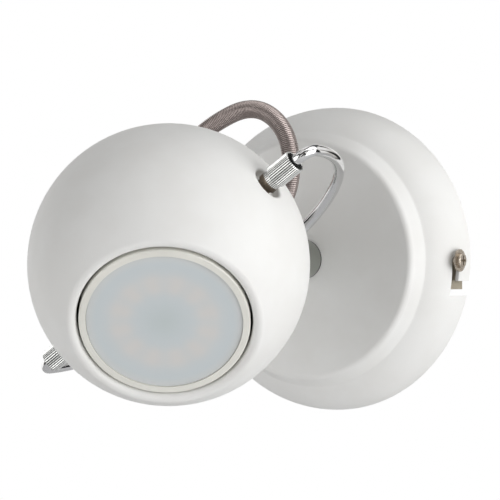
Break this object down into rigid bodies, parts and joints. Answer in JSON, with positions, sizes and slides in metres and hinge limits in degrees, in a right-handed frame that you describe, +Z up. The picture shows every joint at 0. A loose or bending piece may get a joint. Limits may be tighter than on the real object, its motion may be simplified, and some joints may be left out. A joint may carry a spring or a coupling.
{
  "type": "pivoting spotlight wall light",
  "caption": "Wall spotlight: a round powder-coated head with a reflector lamp, held between the ends of a chrome bow that swivels on a shallow round canopy, with a corrugated cable hose.",
  "frame": {"origin": "on the wall, in the middle of the wall plate's back, half-way between its two fixing slots and on the canopy's axis", "axes": "+Y into the wall (the light stands out along -Y), +Z up, +X to the right as seen from the room"},
  "size_m": [0.0964, 0.1422, 0.0955],
  "materials": {
    "powder_paint": "matt white, finely textured powder coat",
    "chrome": "polished",
    "nut_chrome": "fine straight knurl, satin chrome",
    "gland_metal": "white, matt",
    "hose_metal": "corrugated, satin",
    "bright_screw": "nickel plated",
    "zinc_plate": "zinc plated",
    "white_moulding": "moulded",
    "brass": "turned",
    "live_sheath": "soft brown sheath",
    "neutral_sheath": "soft blue sheath",
    "earth_sheath": "soft green sheath with a yellow stripe",
    "cable_sheath": "soft sheath",
    "dark_nylon": "moulded",
    "holder_ceramic": "unglazed",
    "lamp_shell": "cream white, smooth",
    "board_metal": "milled",
    "frosted_cover": "frosted, translucent",
    "chip_face": "phosphor coated",
    "pin_metal": "nickel plated"
  },
  "bodies": {
    "canopy": {"canopy": "powder_paint", "canopy_screws": "bright_screw", "canopy_washers": "bright_screw", "wall_plate": "zinc_plate", "terminal_block": "white_moulding", "terminal_sleeves": "brass", "terminal_screws": "bright_screw", "block_screw": "bright_screw", "earth_tag": "brass", "earth_screw": "bright_screw", "canopy_live_lead": "live_sheath", "canopy_neutral_lead": "neutral_sheath", "canopy_earth_lead": "earth_sheath", "plate_earth_lead": "earth_sheath", "canopy_gland": "gland_metal", "canopy_gland_nut": "zinc_plate", "glide_washer": "dark_nylon", "stop_stud": "zinc_plate", "flex_hose": "hose_metal", "hose_cable": "cable_sheath"},
    "yoke": {"swivel_post": "chrome", "yoke_rod": "chrome", "stop_washer": "zinc_plate", "spring_washer": "zinc_plate", "post_nut": "zinc_plate", "rod_clips": "bright_screw"},
    "head": {"head_shell": "powder_paint", "pivot_bushes": "brass", "lampholder_strap": "zinc_plate", "lampholder": "holder_ceramic", "lampholder_screws": "bright_screw", "head_earth_tag": "brass", "head_gland": "gland_metal", "head_gland_nut": "zinc_plate", "head_live_lead": "live_sheath", "head_neutral_lead": "neutral_sheath", "head_earth_lead": "earth_sheath"},
    "nut_right": {"knurled_nut_right": "nut_chrome"},
    "nut_left": {"knurled_nut_left": "nut_chrome"},
    "lamp": {"lamp_body": "lamp_shell", "led_board": "board_metal", "diffuser": "frosted_cover", "led_chips": "chip_face", "lamp_base": "white_moulding", "lamp_pins": "pin_metal"}
  },
  "joints": [
    {"name": "yoke_swivel", "type": "hinge", "parent": "canopy", "child": "yoke", "pos_m": [0, -0.0203, 0], "axis": [0, -1, 0], "range_deg": [-75, 75], "deforming": ["flex_hose", "hose_cable"]},
    {"name": "head_tilt", "type": "hinge", "parent": "yoke", "child": "head", "pos_m": [-0.00154, -0.1005, -0.00111], "axis": [0.8111, 0, 0.585], "range_deg": [-20, 45], "deforming": ["flex_hose", "hose_cable"]},
    {"name": "nut_right_turn", "type": "hinge", "parent": "head", "child": "nut_right", "pos_m": [-0.00154, -0.1005, -0.00111], "axis": [0.8111, 0, 0.585], "range_deg": [0, 360]},
    {"name": "nut_left_turn", "type": "hinge", "parent": "head", "child": "nut_left", "pos_m": [-0.00154, -0.1005, -0.00111], "axis": [-0.8111, 0, -0.585], "range_deg": [0, 360]},
    {"name": "lamp_twist", "type": "hinge", "parent": "head", "child": "lamp", "pos_m": [-0.00154, -0.1005, -0.00111], "axis": [0.3914, -0.7431, -0.5427], "range_deg": [0, 25]}
  ]
}
